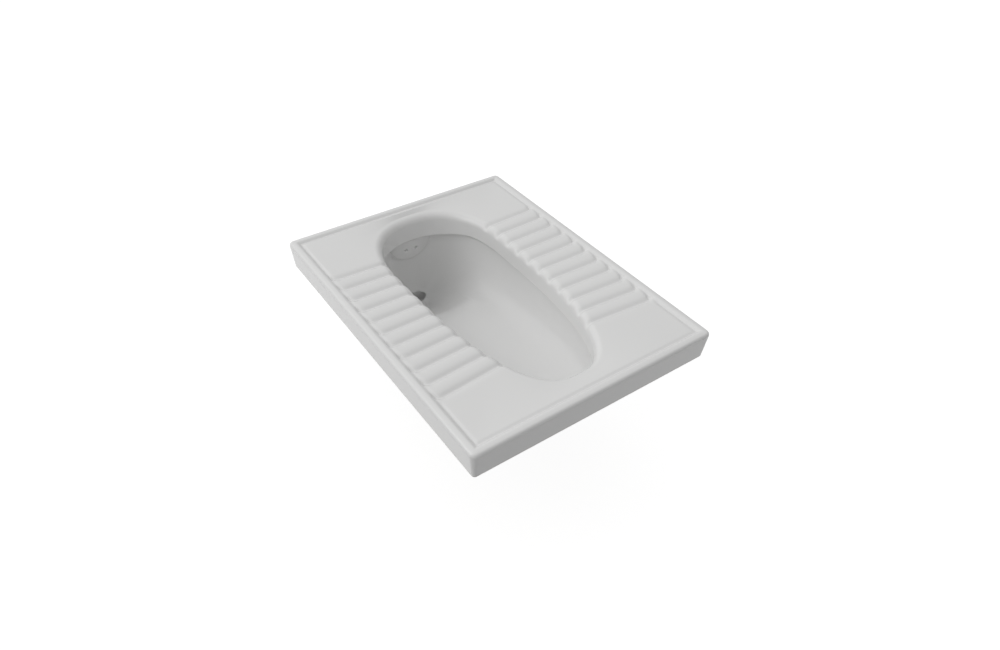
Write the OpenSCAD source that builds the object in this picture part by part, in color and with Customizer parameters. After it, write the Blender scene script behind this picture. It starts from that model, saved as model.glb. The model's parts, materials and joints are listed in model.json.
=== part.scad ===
// Squat toilet: a glazed squat pan with its jet cap, flush connector, seals and P-trap.
// Millimetres. +Z is up, +Y is the rear, where the flush enters and the outlet drops.
// The origin is the middle of the slab at the skirt's underside, which is the floor level.

/* [Slab] */
// Length of the slab, front to rear
slab_length = 580; // [560:5:620]
// Width of the slab
slab_width = 445; // [430:5:480]
// Height of the slab above the floor
slab_height = 50; // [44:1:60]
// Radius of the slab's corners in plan
corner_radius = 10; // [8:1:16]
// How much narrower the skirt's foot is than its top, on each side
skirt_draft = 4.5; // [2:0.5:6]
// Thickness of the fired wall
wall = 10; // [8:0.5:11]
// Width of the raised bead round the slab's edge
bead_width = 14; // [12:1:18]
// Depth of the gutter inside the bead
gutter_depth = 3.5; // [2:0.5:5]

/* [Opening] */
// Half width of the opening at its widest
opening_half_width = 104; // [98:1:110]
// Where the opening is widest, behind the middle of the slab
opening_centre_y = 110; // [104:1:116]
// Reach of the opening from its widest place to its rear end
opening_rear_reach = 137; // [132:1:139]
// Reach of the opening from its widest place to its front end
opening_front_reach = 343; // [328:1:348]
// Radius of the shoulder between the deck and the collar
shoulder_radius = 14; // [10:1:16]
// Fall of the deck from the gutter to the shoulder
deck_fall = 5.5; // [3:0.5:8]
// Height of the sharp lower lip above the floor
lip_height = 3; // [1:0.5:6]
// How much lower the lip is at its rear end
lip_rear_fall = 8; // [5:0.5:8]

/* [Treads] */
// Grooves on each foot side
groove_count = 11; // [7:1:12]
// Distance between grooves
groove_pitch = 32.4; // [28:0.2:34]
// Where the rearmost groove meets the gutter
groove_first_y = 150; // [140:1:160]
// Radius of a groove's hollow
groove_radius = 9; // [6:0.5:12]
// Depth of a groove
groove_depth = 2.4; // [1.5:0.1:3]
// Slant of the rearmost groove, inner end to the rear
groove_slant_rear = 2; // [0:0.5:4]
// Slant of the foremost groove, inner end to the rear
groove_slant_front = 7; // [4:0.5:9]

/* [Bowl] */
// Undercut of the bowl behind the lip, at the sides and the front
bowl_undercut = 7; // [5:0.5:9]
// Undercut of the bowl behind the lip, at the rear
rear_undercut = 18; // [14:0.5:19]
// Depth of the shallow part at its front end
tray_front_depth = 50; // [40:1:60]
// Depth of the shallow part at its rear end
tray_rear_depth = 88; // [75:1:95]
// Depth of the well at the outlet
well_depth = 139; // [130:1:145]
// Rise of the well's floor per millimetre away from the outlet
well_slope = 0.78; // [0.6:0.02:0.9]

/* [Outlet] */
// Where the outlet drops, behind the middle of the slab
outlet_y = 220; // [214:1:222]
// Radius of the outlet's bore
outlet_bore_radius = 38; // [34:1:39]
// Outer radius of the outlet spigot
spigot_radius = 48; // [46:0.5:50]
// Level of the spigot's lower end below the floor
spigot_drop = 188; // [184:1:194]

/* [Flush inlet] */
// Level of the inlet's axis below the floor
inlet_drop = 34; // [33:1:38]
// Outer radius of the inlet horn
horn_radius = 27.5; // [25:0.5:28]
// Radius of the inlet's bore
inlet_bore_radius = 20; // [17:0.5:21]
// How far the horn reaches behind the middle of the slab
horn_end_y = 322; // [318:1:330]
// Radius of the jet cap's round lower edge
jet_cap_radius = 46; // [45:1:50]
// Level of the jet cap's middle below the floor
jet_cap_drop = 9; // [7:1:11]
// How far the jet cap stands out of the bowl's wall
jet_cap_bulge = 6; // [5:0.5:8]
// Radius of each jet
jet_radius = 2.5; // [2:0.25:3]
// Distance between the two jets
jet_spacing = 21; // [16:1:22]

/* [Connector] */
// Wall of the rubber flush cone
cone_wall = 4; // [3:0.5:5]
// Outer radius of the flush pipe that the cone takes
flush_pipe_radius = 20; // [16:0.5:21]
// Width of a clamp's band
band_width = 10; // [8:0.5:11]
// Thickness of a clamp's band
band_thickness = 1; // [0.6:0.1:1.4]
// Radius of a clamp's worm screw
worm_radius = 3; // [2.5:0.25:3.5]

/* [Trap] */
// Outer radius of the trap's tube
tube_radius = 45; // [42:0.5:46]
// Wall of the trap's tube
tube_wall = 3.5; // [2.5:0.25:4]
// Height of the taper from the trap's socket down to its tube
socket_taper = 11; // [8:1:16]
// Free space between the trap's socket and the union nut
nut_clearance = 2.5; // [2:0.5:6]
// Radius inside the upper elbow
elbow_inner_radius = 3; // [2:0.5:8]
// Straight end of the arm, which goes into the soil pipe
arm_end_length = 44; // [36:1:60]
// Pitch of the union nut's and the cleaning cap's thread
thread_pitch = 4; // [3:0.5:5]
// Outer radius of the cleaning eye
eye_radius = 24; // [20:0.5:27]

/* [Hidden] */

// Colours
glaze = [0.90, 0.90, 0.89];
rubber = [0.10, 0.10, 0.11];
steel = [0.62, 0.63, 0.65];
grey_plastic = [0.55, 0.57, 0.58];
orange_plastic = [0.80, 0.36, 0.12];

// Smoothness of what is truly round
round_fn = 96;
// Small overlap that makes a cut or a join clean
bite = 1;
// Running clearance of turning pieces, on the radius
running_gap = 0.1;
// Clearance between pieces that only sit together
seat_gap = 0.05;

// ---------------------------------------------------------------- outlines of the pan

// Half the straight stretch in the middle of the long sides, where rings keep their own y
spine = (slab_length - slab_width) / 2;

// Directions, from each end of the spine, in which the end points of a ring lie.
// They crowd round 45 degrees, where the slab's corners are.
end_angles = [10, 20, 30, 38, 42, 45, 48, 52, 62, 72, 81];
side_steps = 8;

// Stations of a ring, anticlockwise from the middle of the right side's front end:
// [end, value], where end is 1 (rear), -1 (front) or 0 (side), and the value is an angle or a y.
stations = concat(
    [for (i = [0:side_steps]) [0, -spine + 2 * spine * i / side_steps, 1]],
    [for (a = end_angles) [1, a, 1]],
    [[1, 90, 1]],
    [for (i = [len(end_angles) - 1:-1:0]) [1, end_angles[i], -1]],
    [for (i = [0:side_steps]) [0, spine - 2 * spine * i / side_steps, -1]],
    [for (a = end_angles) [-1, a, -1]],
    [[-1, 90, -1]],
    [for (i = [len(end_angles) - 1:-1:0]) [-1, end_angles[i], 1]]
);
ring_count = len(stations);

// Distance from the middle of a rounded square to its edge, at an angle
function rounded_square_reach(half, r, a) =
    let (c = half - r)
    a <= atan(c / half) ? half / cos(a)
    : a >= atan(half / c) ? half / sin(a)
    : c * (cos(a) + sin(a)) + sqrt(pow(c * (cos(a) + sin(a)), 2) - 2 * c * c + r * r);

// A ring of the slab's outline, drawn in by inset, at height z
function slab_ring(inset, z) =
    let (half = slab_width / 2 - inset, r = max(corner_radius - inset, 2))
    [for (s = stations)
        s[0] == 0
        ? [s[2] * half, s[1], z]
        : let (reach = rounded_square_reach(half, r, s[1]))
          [s[2] * reach * cos(s[1]), s[0] * (spine + reach * sin(s[1])), z]];

// The opening is egg-shaped: two half superellipses that meet at its widest place
rear_power = 2.4;
front_power = 2.65;

// Half width of an egg at y, with half width a, rear reach b and front reach f
function egg_half_width(y, a, b, f) =
    let (rear = y > opening_centre_y)
    let (power = rear ? rear_power : front_power)
    let (share = abs(y - opening_centre_y) / (rear ? b : f))
    share >= 1 ? 0 : a * pow(1 - pow(share, power), 1 / power);

// Where a point lies between the egg's middle (0) and its outline (1)
function egg_share(x, y, a, b, f) =
    let (rear = y > opening_centre_y)
    let (power = rear ? rear_power : front_power)
    pow(pow(abs(x) / a, power) + pow(abs(y - opening_centre_y) / (rear ? b : f), power), 1 / power);

// A ring of an egg's outline, as plan points
function egg_plan(a, b, f) =
    [for (s = stations)
        let (tip = s[0] == 1 ? opening_centre_y + b : opening_centre_y - f)
        let (y = s[0] == 0 ? s[1] : s[0] * spine + (tip - s[0] * spine) * sin(s[1]))
        [s[2] * egg_half_width(y, a, b, f), y]];

// A ring of the opening's outline, grown by grow, at height z
function opening_ring(grow, z) =
    [for (p = egg_plan(opening_half_width + grow, opening_rear_reach + grow, opening_front_reach + grow))
        [p[0], p[1], z]];

// The lip's edge falls smoothly towards the rear, between these two places
lip_fall_start = 180;
lip_fall_end = 240;

function lip_z(y) =
    let (t = min(1, max(0, (y - lip_fall_start) / (lip_fall_end - lip_fall_start))))
    lip_height - lip_rear_fall * t * t * (3 - 2 * t);

function lip_ring() = [for (p = opening_ring(0, 0)) [p[0], p[1], lip_z(p[1])]];

// ---------------------------------------------------------------- surfaces of the pan

// Radius over the skirt's top edge
edge_radius = 6;
// Width of the bead's inner roll, and how far the crest has sunk where it begins
roll_width = 2;
roll_sink = 0.6;
// Widths of the gutter's two flanks, and its rise to the deck
gutter_outer_width = 3;
gutter_inner_width = 5;
gutter_rise = 1;
// Thickness of the lip round the opening
lip_thickness = 9;
// Steps in a rounded edge
round_steps = [0:30:90];

deck_height = slab_height - gutter_depth + gutter_rise;
shoulder_top = deck_height - deck_fall;
collar_top = shoulder_top - shoulder_radius;
bowl_top = lip_height - lip_thickness;

bowl_half_width = opening_half_width + bowl_undercut;
bowl_rear_reach = opening_rear_reach + rear_undercut;
bowl_front_reach = opening_front_reach + bowl_undercut;

// How flat the bowl's floor is, and how round its foot
floor_power = 5;
foot_power = 0.45;
// How much steeper the well is across than along
well_stretch = 1.6;

// Depth of the bowl at a plan point: a shallow tray that falls to the rear and a well round the outlet,
// whichever is deeper, both brought up to nothing at the outline
function bowl_depth(x, y) =
    let (share = min(1, egg_share(x, y, bowl_half_width, bowl_rear_reach, bowl_front_reach)))
    let (front_y = opening_centre_y - bowl_front_reach)
    let (run = (y - front_y) / (bowl_front_reach + bowl_rear_reach))
    let (tray = tray_front_depth + (tray_rear_depth - tray_front_depth) * run)
    let (away = norm([well_stretch * x, y - outlet_y]) - outlet_bore_radius)
    let (well = well_depth - well_slope * max(0, away))
    max(tray, well) * pow(1 - pow(share, floor_power), foot_power);

// The bowl's rings shrink from its outline (0) to a small circle over the outlet (1)
bowl_steps = [0, 0.02, 0.06, 0.12, 0.2, 0.3, 0.42, 0.54, 0.65, 0.75, 0.84, 0.92, 1];
sump_radius = 0.75 * outlet_bore_radius;
bowl_outline = egg_plan(bowl_half_width, bowl_rear_reach, bowl_front_reach);

// Direction of each station on the small circle over the outlet
function station_angle(i) =
    let (s = stations[i])
    s[0] == 0 ? (s[2] > 0 ? -20 + 40 * (s[1] + spine) / (2 * spine)
                          : 160 + 40 * (spine - s[1]) / (2 * spine))
    : s[0] == 1 ? (s[2] > 0 ? 20 + 70 * s[1] / 90 : 160 - 70 * s[1] / 90)
    : (s[2] > 0 ? -20 - 70 * s[1] / 90 : 200 + 70 * s[1] / 90);

function bowl_point(i, step) =
    let (rim = bowl_outline[i])
    let (a = station_angle(i))
    let (x = rim[0] * (1 - step) + sump_radius * cos(a) * step)
    let (y = rim[1] * (1 - step) + (outlet_y + sump_radius * sin(a)) * step)
    [x, y, bowl_top - (step == 0 ? 0 : bowl_depth(x, y))];

bowl_inside = [for (step = bowl_steps) [for (i = [0:ring_count - 1]) bowl_point(i, step)]];

// The bowl's outside: each inside point moved one wall along the surface's outward normal
function bowl_normal(k, i) =
    let (after = bowl_inside[k][(i + 1) % ring_count])
    let (before = bowl_inside[k][(i + ring_count - 1) % ring_count])
    let (inner = bowl_inside[min(k + 1, len(bowl_steps) - 1)][i])
    let (outer = bowl_inside[max(k - 1, 0)][i])
    let (n = cross(after - before, outer - inner))
    n / norm(n);

bowl_outside = [for (k = [0:len(bowl_steps) - 1])
    [for (i = [0:ring_count - 1])
        let (n = bowl_normal(k, i))
        k == 0
        ? bowl_inside[0][i] + wall * [n[0], n[1], 0] / norm([n[0], n[1]])
        : bowl_inside[k][i] + wall * (n[2] > 0 ? -n : n)]];

// A closed solid from a stack of rings, first ring at the bottom, with a flat lid at each end
module stack(rings) {
    rows = len(rings);
    points = [for (ring = rings) each ring];
    sides = [for (k = [0:rows - 2]) for (i = [0:ring_count - 1])
        let (j = (i + 1) % ring_count)
        let (a = k * ring_count + i, b = k * ring_count + j)
        each [[a, b + ring_count, b], [a, a + ring_count, b + ring_count]]];
    bottom = [for (i = [0:ring_count - 1]) i];
    top = [for (i = [ring_count - 1:-1:0]) (rows - 1) * ring_count + i];
    polyhedron(points, concat(sides, [bottom], [top]));
}

// ---------------------------------------------------------------- pan

// Extra thickness of the casting where the deck turns down into the bowl, and where it meets the skirt
turn_thickening = 4;
corner_thickening = 2;
underside = shoulder_top - wall - turn_thickening;

// The casting without its spouts, as one stack of rings: down the outside of the bowl's well, up its
// outside, under the deck, round the skirt and the bead, over the deck and the collar into the bowl
module pan_shell() {
    stack([
        for (k = [len(bowl_steps) - 1:-1:0]) bowl_outside[k],
        opening_ring(bowl_undercut + wall + corner_thickening, underside),
        slab_ring(wall + corner_thickening, underside + corner_thickening),
        slab_ring(skirt_draft + wall, 0),
        slab_ring(skirt_draft, 0),
        for (a = round_steps)
            slab_ring(edge_radius * (1 - cos(a)), slab_height - edge_radius * (1 - sin(a))),
        slab_ring(bead_width - roll_width, slab_height - roll_sink),
        slab_ring(bead_width + gutter_outer_width, slab_height - gutter_depth),
        slab_ring(bead_width + gutter_outer_width + gutter_inner_width, deck_height),
        for (a = round_steps)
            opening_ring(shoulder_radius * (1 - sin(a)), collar_top + shoulder_radius * cos(a)),
        lip_ring(),
        for (k = [0:len(bowl_steps) - 1]) bowl_inside[k]
    ]);
}

// The foot treads' grooves: round hollows that begin at the gutter and run out over the shoulder
module tread_grooves() {
    outer_x = slab_width / 2 - bead_width - gutter_inner_width;
    for (side = [-1, 1])
        for (k = [0:groove_count - 1]) {
            share = k / (groove_count - 1);
            slant = groove_slant_rear + (groove_slant_front - groove_slant_rear) * share;
            y = groove_first_y - groove_pitch * k;
            inner_x = egg_half_width(y, opening_half_width, opening_rear_reach, opening_front_reach);
            reach = outer_x - inner_x;
            fall = atan(deck_fall / (reach - shoulder_radius));
            translate([side * outer_x, y, deck_height + groove_radius - groove_depth])
                rotate([0, 0, side > 0 ? 180 - slant : slant])
                    rotate([0, 90 + fall, 0])
                        cylinder(h = reach + bite, r = groove_radius, $fn = round_fn);
        }
}

// A cylinder along +Y from one y to another, with its axis a drop below the floor
module level_cylinder(drop, from_y, to_y, r) {
    translate([0, from_y, -drop])
        rotate([-90, 0, 0])
            cylinder(h = to_y - from_y, r = r, $fn = round_fn);
}

// All of the space behind the middle of the slab that lies under a level
module space_under(level) {
    translate([-slab_width / 2, 0, level - slab_width])
        cube([slab_width, slab_length, slab_width]);
}

// The flat face on the bowl's rear wall that the jet cap lies on
pad_face_y = opening_centre_y + bowl_rear_reach - 7;
pad_margin = 3;
cap_top = bowl_top - 2;
cap_gap = 0.3;

module inlet_pad() {
    intersection() {
        level_cylinder(jet_cap_drop, pad_face_y, pad_face_y + wall + pad_margin, jet_cap_radius + pad_margin);
        space_under(lip_height - lip_thickness / 3);
    }
}

// The bowl's wall is cut back in front of that face, so that the cap's rim has room
module cap_recess() {
    intersection() {
        level_cylinder(jet_cap_drop, pad_face_y - wall, pad_face_y, jet_cap_radius + cap_gap);
        space_under(cap_top + cap_gap);
    }
}

// The outlet spigot ends in the bowl's wall, which climbs steeply to the rear of the outlet
spigot_slope = 38.5;
spigot_top = bowl_top - bowl_depth(outlet_bore_radius, outlet_y) - wall / 4;

module outlet_spigot() {
    intersection() {
        translate([0, outlet_y, -spigot_drop])
            cylinder(h = spigot_drop, r = spigot_radius, $fn = round_fn);
        translate([0, outlet_y, spigot_top])
            rotate([spigot_slope, 0, 0])
                translate([-slab_width / 2, -slab_width / 2, -slab_width])
                    cube(slab_width);
    }
}

// The outlet's bore opens into the bowl, and ends in the free space under the jet cap
outlet_bore_length = spigot_drop + bite - jet_cap_drop - jet_cap_radius - 2 * pad_margin;

module pan() {
    color(glaze)
        difference() {
            union() {
                pan_shell();
                inlet_pad();
                level_cylinder(inlet_drop, pad_face_y + wall, horn_end_y, horn_radius);
                outlet_spigot();
            }
            tread_grooves();
            cap_recess();
            translate([0, outlet_y, -spigot_drop - bite])
                cylinder(h = outlet_bore_length, r = outlet_bore_radius, $fn = round_fn);
            level_cylinder(inlet_drop, pad_face_y - bite, horn_end_y + bite, inlet_bore_radius);
        }
}

// ---------------------------------------------------------------- jet cap

// The cap is a lens cut flat on top, on a tube that goes into the inlet's bore
cap_back_y = pad_face_y - seat_gap;
cap_front_y = cap_back_y - jet_cap_bulge;
cap_ball_radius = (pow(jet_cap_radius, 2) + pow(jet_cap_bulge, 2)) / (2 * jet_cap_bulge);
cap_rim_angle = asin(jet_cap_radius / cap_ball_radius);
cap_steps = 12;
tail_gap = 0.4;
tail_bite = 0.3;
tail_wall = 2;
tail_length = 20;
tail_radius = inlet_bore_radius - tail_gap;
tail_end_y = pad_face_y + tail_length;
ring_section = 1.2;
ring_y = pad_face_y + tail_length / 2;
ring_middle = inlet_bore_radius - seat_gap - ring_section;
groove_floor = ring_middle - ring_section - seat_gap;
tail_bore_radius = groove_floor - tail_wall;
jet_rise = 5;

module cap_lens() {
    intersection() {
        translate([0, cap_back_y, -jet_cap_drop])
            rotate([-90, 0, 0])
                rotate_extrude($fn = round_fn)
                    polygon([
                        [0, 0],
                        for (i = [0:cap_steps])
                            let (a = cap_rim_angle * i / cap_steps)
                            [cap_ball_radius * sin(a), cap_ball_radius * (1 - cos(a)) - jet_cap_bulge]
                    ]);
        space_under(cap_top);
    }
}

// The groove round the tail that holds the rubber ring
module ring_groove() {
    half = ring_section + seat_gap;
    difference() {
        level_cylinder(inlet_drop, ring_y - half, ring_y + half, tail_radius + bite);
        level_cylinder(inlet_drop, ring_y - half - bite, ring_y + half + bite, groove_floor);
    }
}

module flush_spreader() {
    color(glaze)
        difference() {
            union() {
                cap_lens();
                level_cylinder(inlet_drop, cap_back_y - tail_bite, tail_end_y, tail_radius);
            }
            ring_groove();
            level_cylinder(inlet_drop, cap_back_y, tail_end_y + bite, tail_bore_radius);
            for (side = [-1, 1])
                translate([side * jet_spacing / 2, 0, 0])
                    level_cylinder(inlet_drop - jet_rise, cap_front_y - bite, cap_back_y + bite, jet_radius);
        }
}

module spreader_seal() {
    color(rubber)
        translate([0, ring_y, -inlet_drop])
            rotate([-90, 0, 0])
                rotate_extrude($fn = round_fn)
                    translate([ring_middle, 0])
                        circle(r = ring_section, $fn = round_fn / 3);
}

// ---------------------------------------------------------------- flush connector

horn_sleeve_length = 24;
pipe_sleeve_length = 20;
taper_length = 16;
horn_stop_gap = 2;
sleeve_start_y = horn_end_y - horn_sleeve_length;
taper_start_y = horn_end_y + horn_stop_gap;
pipe_sleeve_y = taper_start_y + taper_length;
cone_end_y = pipe_sleeve_y + pipe_sleeve_length;
horn_sleeve_bore = horn_radius + seat_gap;
horn_sleeve_radius = horn_sleeve_bore + cone_wall;
pipe_sleeve_radius = flush_pipe_radius + cone_wall;

// A rubber reducer: a wide sleeve on the horn, a cone and a narrow sleeve for the flush pipe
module flush_cone() {
    color(rubber)
        translate([0, 0, -inlet_drop])
            rotate([-90, 0, 0])
                rotate_extrude($fn = round_fn)
                    polygon([
                        [horn_sleeve_bore, sleeve_start_y], [horn_sleeve_radius, sleeve_start_y],
                        [horn_sleeve_radius, taper_start_y], [pipe_sleeve_radius, pipe_sleeve_y],
                        [pipe_sleeve_radius, cone_end_y], [flush_pipe_radius, cone_end_y],
                        [flush_pipe_radius, pipe_sleeve_y], [horn_sleeve_bore, taper_start_y]
                    ]);
}

horn_clamp_y = horn_end_y - horn_sleeve_length / 2;
pipe_clamp_y = cone_end_y - pipe_sleeve_length / 2;
housing_wall = 1.5;
housing_length = 16;
housing_margin = 1;
screw_overhang = 3;
head_height = 4;
head_gap = 0.5;
head_radius = 1.4 * worm_radius;
slot_depth = 2;
driver_slot = 1.2;

// Radius over a clamp's band, closed round a sleeve
function band_radius(sleeve) = sleeve + seat_gap + band_thickness;

// Distance from the inlet's axis to a clamp's worm, which lies on its band
function worm_offset(sleeve) = band_radius(sleeve) + seat_gap + housing_wall + worm_radius;

// A clamp's band with its middle at y
module clamp_band(y, sleeve) {
    color(steel)
        difference() {
            level_cylinder(inlet_drop, y - band_width / 2, y + band_width / 2, band_radius(sleeve));
            level_cylinder(inlet_drop, y - band_width, y + band_width, sleeve + seat_gap);
        }
}

// A clamp's housing: a saddle on the band that holds the worm
module clamp_housing(y, sleeve) {
    width = band_width + 2 * housing_margin;
    outer_x = worm_offset(sleeve) + worm_radius + housing_wall;
    color(steel)
        difference() {
            translate([sleeve, y - width / 2, -inlet_drop - housing_length / 2])
                cube([outer_x - sleeve, width, housing_length]);
            level_cylinder(inlet_drop, y - width, y + width, band_radius(sleeve) + seat_gap);
            translate([worm_offset(sleeve), y, -inlet_drop - housing_length])
                cylinder(h = 2 * housing_length, r = worm_radius + running_gap, $fn = round_fn);
        }
}

// A clamp's worm screw, with a hexagon head that has a driver slot
module clamp_screw(y, sleeve) {
    head_z = housing_length / 2 + head_gap;
    color(steel)
        translate([worm_offset(sleeve), y, -inlet_drop])
            difference() {
                union() {
                    translate([0, 0, -housing_length / 2 - screw_overhang])
                        cylinder(h = housing_length + screw_overhang + head_gap + bite, r = worm_radius,
                                 $fn = round_fn);
                    translate([0, 0, head_z])
                        cylinder(h = head_height, r = head_radius, $fn = 6);
                }
                translate([-head_radius - bite, -driver_slot / 2, head_z + head_height - slot_depth])
                    cube([2 * (head_radius + bite), driver_slot, slot_depth + bite]);
            }
}

module horn_clamp_band() { clamp_band(horn_clamp_y, horn_sleeve_radius); }
module horn_clamp_housing() { clamp_housing(horn_clamp_y, horn_sleeve_radius); }
module horn_clamp_screw() { clamp_screw(horn_clamp_y, horn_sleeve_radius); }
module pipe_clamp_band() { clamp_band(pipe_clamp_y, pipe_sleeve_radius); }
module pipe_clamp_housing() { clamp_housing(pipe_clamp_y, pipe_sleeve_radius); }
module pipe_clamp_screw() { clamp_screw(pipe_clamp_y, pipe_sleeve_radius); }

// ---------------------------------------------------------------- trap

// Clearance of curved faces that turn past each other without bearing on each other
free_gap = 0.3;

bore_radius = tube_radius - tube_wall;

// Socket on the spigot, with a collar at its mouth
seal_thickness = 5;
socket_wall = 3.5;
socket_depth = 30;
collar_width = 2.5;
collar_height = 5;
spigot_stop_gap = 2;
socket_radius = spigot_radius + seal_thickness;
socket_outer = socket_radius + socket_wall;
socket_top = socket_depth - spigot_drop;
socket_floor = -spigot_drop - spigot_stop_gap;
bend_start = socket_floor - socket_wall - socket_taper;

// Rising leg, with three rings of thread for the union nut
thread_rings = 3;
thread_depth = 1.5;
leg_wall = 3.7;
leg_length = 24;
flare_height = 5;
tail_stop_gap = 2;
leg_seat = tube_radius + free_gap;
flare_radius = leg_seat + leg_wall;
thread_radius = flare_radius + thread_depth;
leg_top = bend_start + leg_length;
flare_top = bend_start + flare_height;

// Union nut and its washer
washer_height = 4;
nut_wall = 4;
nut_lip = 4;
nut_height = 24;
nut_ribs = 16;
rib_width = 4;
rib_depth = 1.5;
rib_inset = 2;
nut_lift = 2 * thread_pitch;
nut_bore = thread_radius + free_gap;
nut_outer = nut_bore + nut_wall;
nut_top = leg_top + washer_height + nut_lip;

// The waterway: down the spigot, round the lower bend, up the leg and out through the elbow
bend_radius = (socket_outer + collar_width + nut_outer + rib_depth + nut_clearance) / 2;
elbow_radius = tube_radius + elbow_inner_radius;
elbow_stop_gap = 4;
leg_y = outlet_y + 2 * bend_radius;
tail_bottom = flare_top + tail_stop_gap + bite;
elbow_start = nut_top + nut_lift + elbow_stop_gap;
arm_axis = elbow_start + elbow_radius;
arm_bend_y = leg_y + elbow_radius;

// Cleaning eye on the side of the lower bend
eye_reach = 18;
eye_wall = 4;
eye_y = outlet_y + bend_radius;
eye_z = bend_start - bend_radius;
eye_end_x = tube_radius + eye_reach;
eye_bore = eye_radius - eye_wall;
cap_washer = 2.5;
cap_skirt = 14;
cap_disc = 4.5;
cap_wall = 3.7;
cap_grip_height = 7;
cap_grip_width = 6;
cap_inner = eye_radius + free_gap;
cap_outer = cap_inner + cap_wall;

// The lower bend, as a solid of radius r
module lower_bend(r) {
    translate([0, outlet_y + bend_radius, bend_start])
        rotate([-90, 0, 90])
            rotate_extrude(angle = 180, $fn = round_fn)
                translate([bend_radius, 0])
                    circle(r = r, $fn = round_fn);
}

// The upper elbow, as a solid of radius r
module upper_elbow(r) {
    translate([0, arm_bend_y, elbow_start])
        rotate([90, 0, -90])
            rotate_extrude(angle = 90, $fn = round_fn)
                translate([elbow_radius, 0])
                    circle(r = r, $fn = round_fn);
}

// A rubber ring with two sealing ribs, fixed on the spigot
seal_height = 13;
seal_rib = 3;

module outlet_seal() {
    rim = socket_radius - running_gap;
    waist = rim - seal_rib;
    inner = spigot_radius + seat_gap;
    top = socket_top - collar_height;
    bottom = top - seal_height;
    color(rubber)
        translate([0, outlet_y, 0])
            rotate_extrude($fn = round_fn)
                polygon([
                    [inner, bottom], [waist, bottom], [rim, bottom + 2], [rim, bottom + 4],
                    [waist, bottom + 5], [waist, top - 5], [rim, top - 4], [rim, top - 2],
                    [waist, top], [inner, top]
                ]);
}

module trap_socket() {
    translate([0, outlet_y, 0])
        rotate_extrude($fn = round_fn)
            polygon([
                [bore_radius, bend_start], [tube_radius, bend_start],
                [socket_outer, bend_start + socket_taper],
                [socket_outer, socket_top - collar_height - collar_width],
                [socket_outer + collar_width, socket_top - collar_height],
                [socket_outer + collar_width, socket_top],
                [socket_radius, socket_top], [socket_radius, socket_floor],
                [bore_radius, socket_floor - socket_wall]
            ]);
}

module trap_leg() {
    translate([0, leg_y, 0])
        rotate_extrude($fn = round_fn)
            polygon([
                [bore_radius, bend_start], [tube_radius, bend_start], [flare_radius, flare_top],
                for (i = [0:thread_rings - 1])
                    let (z = flare_top + thread_pitch * (i + 1))
                    each [[flare_radius, z], [thread_radius, z + thread_pitch / 4],
                          [thread_radius, z + thread_pitch / 2], [flare_radius, z + 3 * thread_pitch / 4]],
                [flare_radius, leg_top], [leg_seat, leg_top],
                [leg_seat, flare_top + bite], [bore_radius, flare_top + bite]
            ]);
}

// A cylinder along +X on the cleaning eye's axis
module eye_cylinder(from_x, to_x, r) {
    translate([from_x, eye_y, eye_z])
        rotate([0, 90, 0])
            cylinder(h = to_x - from_x, r = r, $fn = round_fn);
}

module trap_bend() {
    color(grey_plastic)
        difference() {
            union() {
                trap_socket();
                trap_leg();
                lower_bend(tube_radius);
                eye_cylinder(0, eye_end_x, eye_radius);
            }
            lower_bend(bore_radius);
            eye_cylinder(0, eye_end_x + bite, eye_bore);
        }
}

module union_seal() {
    color(rubber)
        translate([0, leg_y, leg_top])
            difference() {
                cylinder(h = washer_height, r = flare_radius, $fn = round_fn);
                translate([0, 0, -bite])
                    cylinder(h = washer_height + 2 * bite, r = leg_seat, $fn = round_fn);
            }
}

module union_nut() {
    bottom = nut_top - nut_height;
    color(grey_plastic)
        translate([0, leg_y, bottom])
            difference() {
                union() {
                    cylinder(h = nut_height, r = nut_outer, $fn = round_fn);
                    for (i = [0:nut_ribs - 1])
                        rotate([0, 0, i * 360 / nut_ribs])
                            translate([nut_outer - bite, -rib_width / 2, rib_inset])
                                cube([rib_depth + bite, rib_width, nut_height - 2 * rib_inset]);
                }
                translate([0, 0, -bite])
                    cylinder(h = nut_height - nut_lip + bite, r = nut_bore, $fn = round_fn);
                cylinder(h = nut_height + bite, r = leg_seat, $fn = round_fn);
            }
}

module trap_arm() {
    color(grey_plastic)
        difference() {
            union() {
                translate([0, leg_y, tail_bottom])
                    cylinder(h = elbow_start - tail_bottom, r = tube_radius, $fn = round_fn);
                upper_elbow(tube_radius);
                level_cylinder(-arm_axis, arm_bend_y, arm_bend_y + arm_end_length, tube_radius);
            }
            translate([0, leg_y, tail_bottom - bite])
                cylinder(h = elbow_start - tail_bottom + bite, r = bore_radius, $fn = round_fn);
            upper_elbow(bore_radius);
            level_cylinder(-arm_axis, arm_bend_y, arm_bend_y + arm_end_length + bite, bore_radius);
        }
}

module cleanout_seal() {
    color(rubber)
        difference() {
            eye_cylinder(eye_end_x, eye_end_x + cap_washer, eye_radius);
            eye_cylinder(eye_end_x - bite, eye_end_x + cap_washer + bite, eye_bore);
        }
}

// The cleaning eye's screw cap, with a bar across its face to turn it by
module cleanout_cap() {
    face_x = eye_end_x + cap_washer;
    grip_length = 2 * eye_bore;
    color(orange_plastic) {
        difference() {
            eye_cylinder(eye_end_x - cap_skirt, face_x + cap_disc, cap_outer);
            eye_cylinder(eye_end_x - cap_skirt - bite, face_x, cap_inner);
        }
        translate([face_x + cap_disc - bite, eye_y - grip_length / 2, eye_z - cap_grip_width / 2])
            cube([cap_grip_height + bite, grip_length, cap_grip_width]);
    }
}

pan();
flush_spreader();
spreader_seal();
flush_cone();
horn_clamp_band();
horn_clamp_housing();
horn_clamp_screw();
pipe_clamp_band();
pipe_clamp_housing();
pipe_clamp_screw();
outlet_seal();
trap_bend();
union_seal();
union_nut();
trap_arm();
cleanout_seal();
cleanout_cap();
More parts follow.
